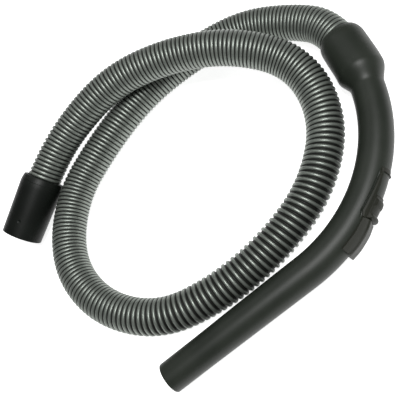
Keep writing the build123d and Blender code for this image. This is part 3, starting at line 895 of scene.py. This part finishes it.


# %% [markdown]
# ## Hose plastic
#
# The hose is soft plastic with a silver pigment: metallic flakes under a clear skin, so its highlights
# are broad and bright on each rib. Its grooves are painted near-black: painted shade for the shadow that
# falls in them. Stripes could be painted along a UV map, but they would drift off the ribs in the bends.
# The rib's height was stored on the points while the ribs were wound, so the colour follows it at any bend.

# %% Mix the hose's silver
def hose_silver():
    """Painted shade: a near-black groove to a clouded silver crest by the rib's height, with brighter flakes, and
    duller grooves.
    """
    finish = Finish("silver_hose_plastic", Metallic=0.7, Coat_Weight=0.1, Coat_Roughness=0.35)
    crest = finish.attribute("rib_height").between(0.12, 0.95)
    cloud = finish.noise(14)
    flake = finish.noise(2600, 1)
    silver = finish.mix(cloud, (0.18, 0.202, 0.18), (0.225, 0.248, 0.222))
    silver = finish.mix(flake.between(0.45, 0.75) * 0.25, silver, (0.34, 0.36, 0.335))
    # Painted shade: the colour falls to near-black in the grooves, where the rib's height is low.
    colour = finish.mix(crest, (0.012, 0.013, 0.011), silver)
    rough = 0.41 + 0.08 * finish.noise(60) + 0.25 * (1 - crest)
    return finish.surface(colour, rough, finish.bump(finish.noise(1500, 3), 0.00004, 0.6))


paint(hose_silver(), hose)


# %% [markdown]
# ## Moulded plastics
#
# Handle, regulator and cuff are black or charcoal mouldings with a fine spark-eroded grain: it breaks the
# gloss into a satin. They differ in colour, in how coarse the grain is and in how much a hand has
# scuffed them. An image of a grain would need an unwrapped mesh, and noise on the piece's own place does
# not, so one function makes them all, and the hidden sleeves, washers and seals too.

# %% Mix the charcoals
def moulded(name, dark, light, rough, grain, depth, scuff=0.0, gloss=0.4):
    """Plastic or rubber with clouded colour, a grain of so many cells to a metre and a depth in metres, and
    faint scuffs."""
    finish = Finish(name, Specular_IOR_Level=gloss)
    cloud = finish.noise(22, 3)
    speck = finish.noise(grain * 0.6, 2)
    colour = finish.mix(cloud.between(0.3, 0.7), dark, light)
    rub = finish.noise(900, 2, stretch=(1, 0.12, 1)).between(0.66, 0.8) * finish.noise(30).between(0.5, 0.7)
    colour = finish.mix(rub * scuff, colour, tuple(3 * value for value in light))
    colour = finish.mix(speck.between(0.55, 0.8) * 0.25, colour, tuple(1.6 * value for value in light))
    roughness = rough + 0.12 * cloud - 0.08 * speck
    return finish.surface(colour, roughness, finish.bump(finish.noise(grain, 3), depth, 0.8))


handle_plastic = moulded("charcoal_handle_plastic", (0.013, 0.0165, 0.012), (0.018, 0.022, 0.0165),
                         rough=0.42, grain=2200, depth=0.00005, scuff=0.25, gloss=0.3)
regulator_plastic = moulded("grained_regulator_plastic", (0.010, 0.0115, 0.0075), (0.0145, 0.016, 0.0105),
                            rough=0.52, grain=1700, depth=0.00007, scuff=0.2, gloss=0.22)
cuff_plastic = moulded("black_cuff_plastic", (0.003, 0.0042, 0.0032), (0.0055, 0.0075, 0.0058),
                       rough=0.42, grain=2400, depth=0.00004, scuff=0.3, gloss=0.2)
sleeve_plastic = moulded("grey_sleeve_plastic", (0.05, 0.05, 0.05), (0.07, 0.07, 0.07),
                         rough=0.40, grain=2000, depth=0.00004)
slip_plastic = moulded("white_slip_plastic", (0.62, 0.62, 0.60), (0.70, 0.70, 0.68),
                       rough=0.38, grain=1800, depth=0.00003)
seal_rubber = moulded("black_seal_rubber", (0.012, 0.012, 0.012), (0.018, 0.018, 0.018),
                      rough=0.62, grain=1500, depth=0.00005)
paint(handle_plastic, handle, socket_ring)
paint(regulator_plastic, track, slider)
paint(cuff_plastic, cuff, cuff_ring)


def spring_steel():
    """Bright strip with fine lines along its rolling direction."""
    finish = Finish("rolled_spring_steel", Metallic=1.0)
    lines = finish.noise(1800, 2, stretch=(1, 0.05, 1))
    colour = finish.mix(lines, (0.42, 0.42, 0.43), (0.58, 0.58, 0.6))
    return finish.surface(colour, 0.25 + 0.15 * lines, finish.bump(lines, 0.00001, 0.5))


nodes = frame["nodes"]
paint(sleeve_plastic, nodes["handle_sleeve"], nodes["cuff_sleeve"])
paint(slip_plastic, nodes["handle_washer"], nodes["cuff_washer"])
paint(seal_rubber, nodes["handle_seal"], nodes["cuff_seal"], nodes["cuff_gasket"], nodes["regulator_pad"])
paint(spring_steel(), nodes["regulator_spring"])


# %% [markdown]
# ## Floor and light
#
# A product table: a pale floor that glows evenly, as a light table does, so that the shadows on it stay
# thin, one soft light overhead, a little to the right, that draws one broad highlight along every tube,
# a weak one from the far left as a window would give, and a dim pale surround. A sun lamp would draw
# hard shadows, and the surround alone would leave the tubes flat.

# %% Build the table and its lights
FLOOR_SIZE = 40
FLOOR_COLOUR = (0.86, 0.86, 0.86, 1.0)
FLOOR_GLOW = 0.85
SURROUND = 0.2

bpy.ops.mesh.primitive_plane_add(size=FLOOR_SIZE, location=(0, 0, packed_box[0][2]))
floor = bpy.context.object
floor.name = "floor"
floor_finish = Finish("pale_floor", Specular_IOR_Level=0.2, Emission_Color=(1, 1, 1, 1),
                      Emission_Strength=FLOOR_GLOW)
floor_grain = floor_finish.bump(floor_finish.noise(400), 0.0001, 0.1)
paint(floor_finish.surface(FLOOR_COLOUR, 0.9, floor_grain), floor)


def soft_light(name, at, aim, size, power):
    """Square area light from one point towards another, with its size in metres and its power in watts."""
    data = bpy.data.lights.new(name, "AREA")
    data.size = size
    data.energy = power
    light = bpy.data.objects.new(name, data)
    back = unit(np.array(at) - np.array(aim))
    across = unit(np.cross((0, 1, 0), back))
    rotation = Matrix(np.array([across, np.cross(back, across), back]).T.tolist()).to_4x4()
    light.matrix_world = Matrix.Translation(at) @ rotation
    bpy.context.scene.collection.objects.link(light)
    print(name, power, "W")


soft_light("key_softbox", (0.26, -0.06, 1.4), (-0.03, 0.02, 0), size=0.5, power=19)
soft_light("window_side", (-0.7, 0.7, 1.0), (-0.05, 0.05, 0), size=0.6, power=1.5)
world = bpy.data.worlds.new("surround")
bpy.context.scene.world = world
world.use_nodes = True
world.node_tree.nodes["Background"].inputs["Color"].default_value = (1.0, 1.0, 1.0, 1.0)
world.node_tree.nodes["Background"].inputs["Strength"].default_value = SURROUND
bpy.context.scene.view_settings.view_transform = "Standard"
